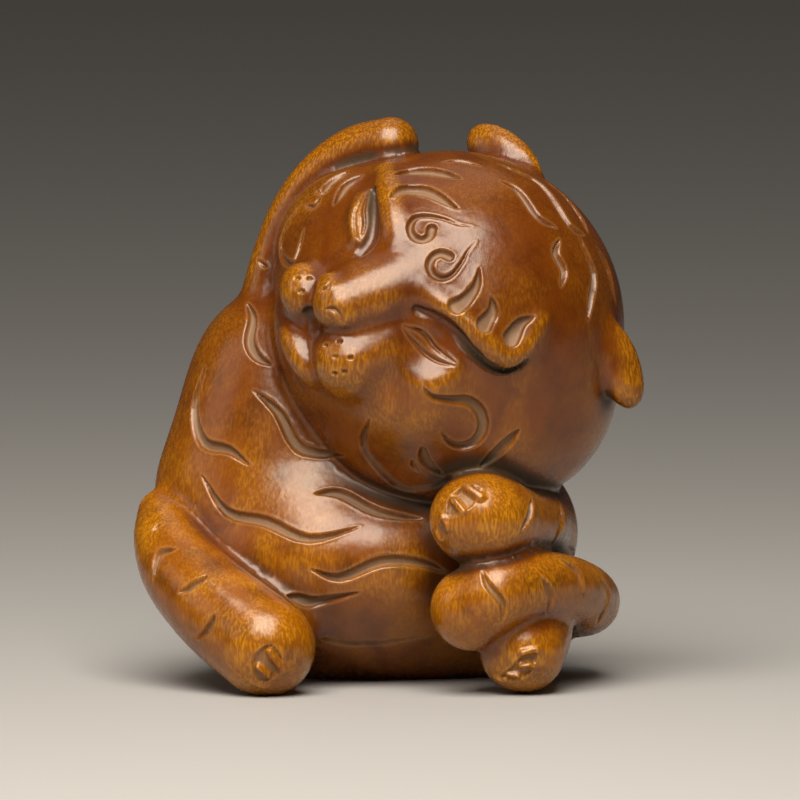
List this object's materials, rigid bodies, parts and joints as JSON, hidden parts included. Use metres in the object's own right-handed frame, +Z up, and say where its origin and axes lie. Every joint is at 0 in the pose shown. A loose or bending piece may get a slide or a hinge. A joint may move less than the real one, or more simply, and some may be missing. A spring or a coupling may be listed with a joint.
{
  "type": "wooden tiger figurine",
  "caption": "Small carved boxwood tiger asleep in a curled sitting pose, its cheek on one forepaw and its tail wrapped round; a hand piece or desk ornament that stands on its rump.",
  "frame": {"origin": "middle of the figure's footprint, at the height of the flat it rests on", "axes": "+Z up, the sleeping face towards -Y, the leg under the head's chin side towards -X and the tail towards +X"},
  "size_m": [0.0544, 0.042, 0.06],
  "materials": {
    "boxwood": "stained and waxed boxwood, satin"
  },
  "bodies": {
    "root": {"tiger": "boxwood"}
  },
  "joints": []
}
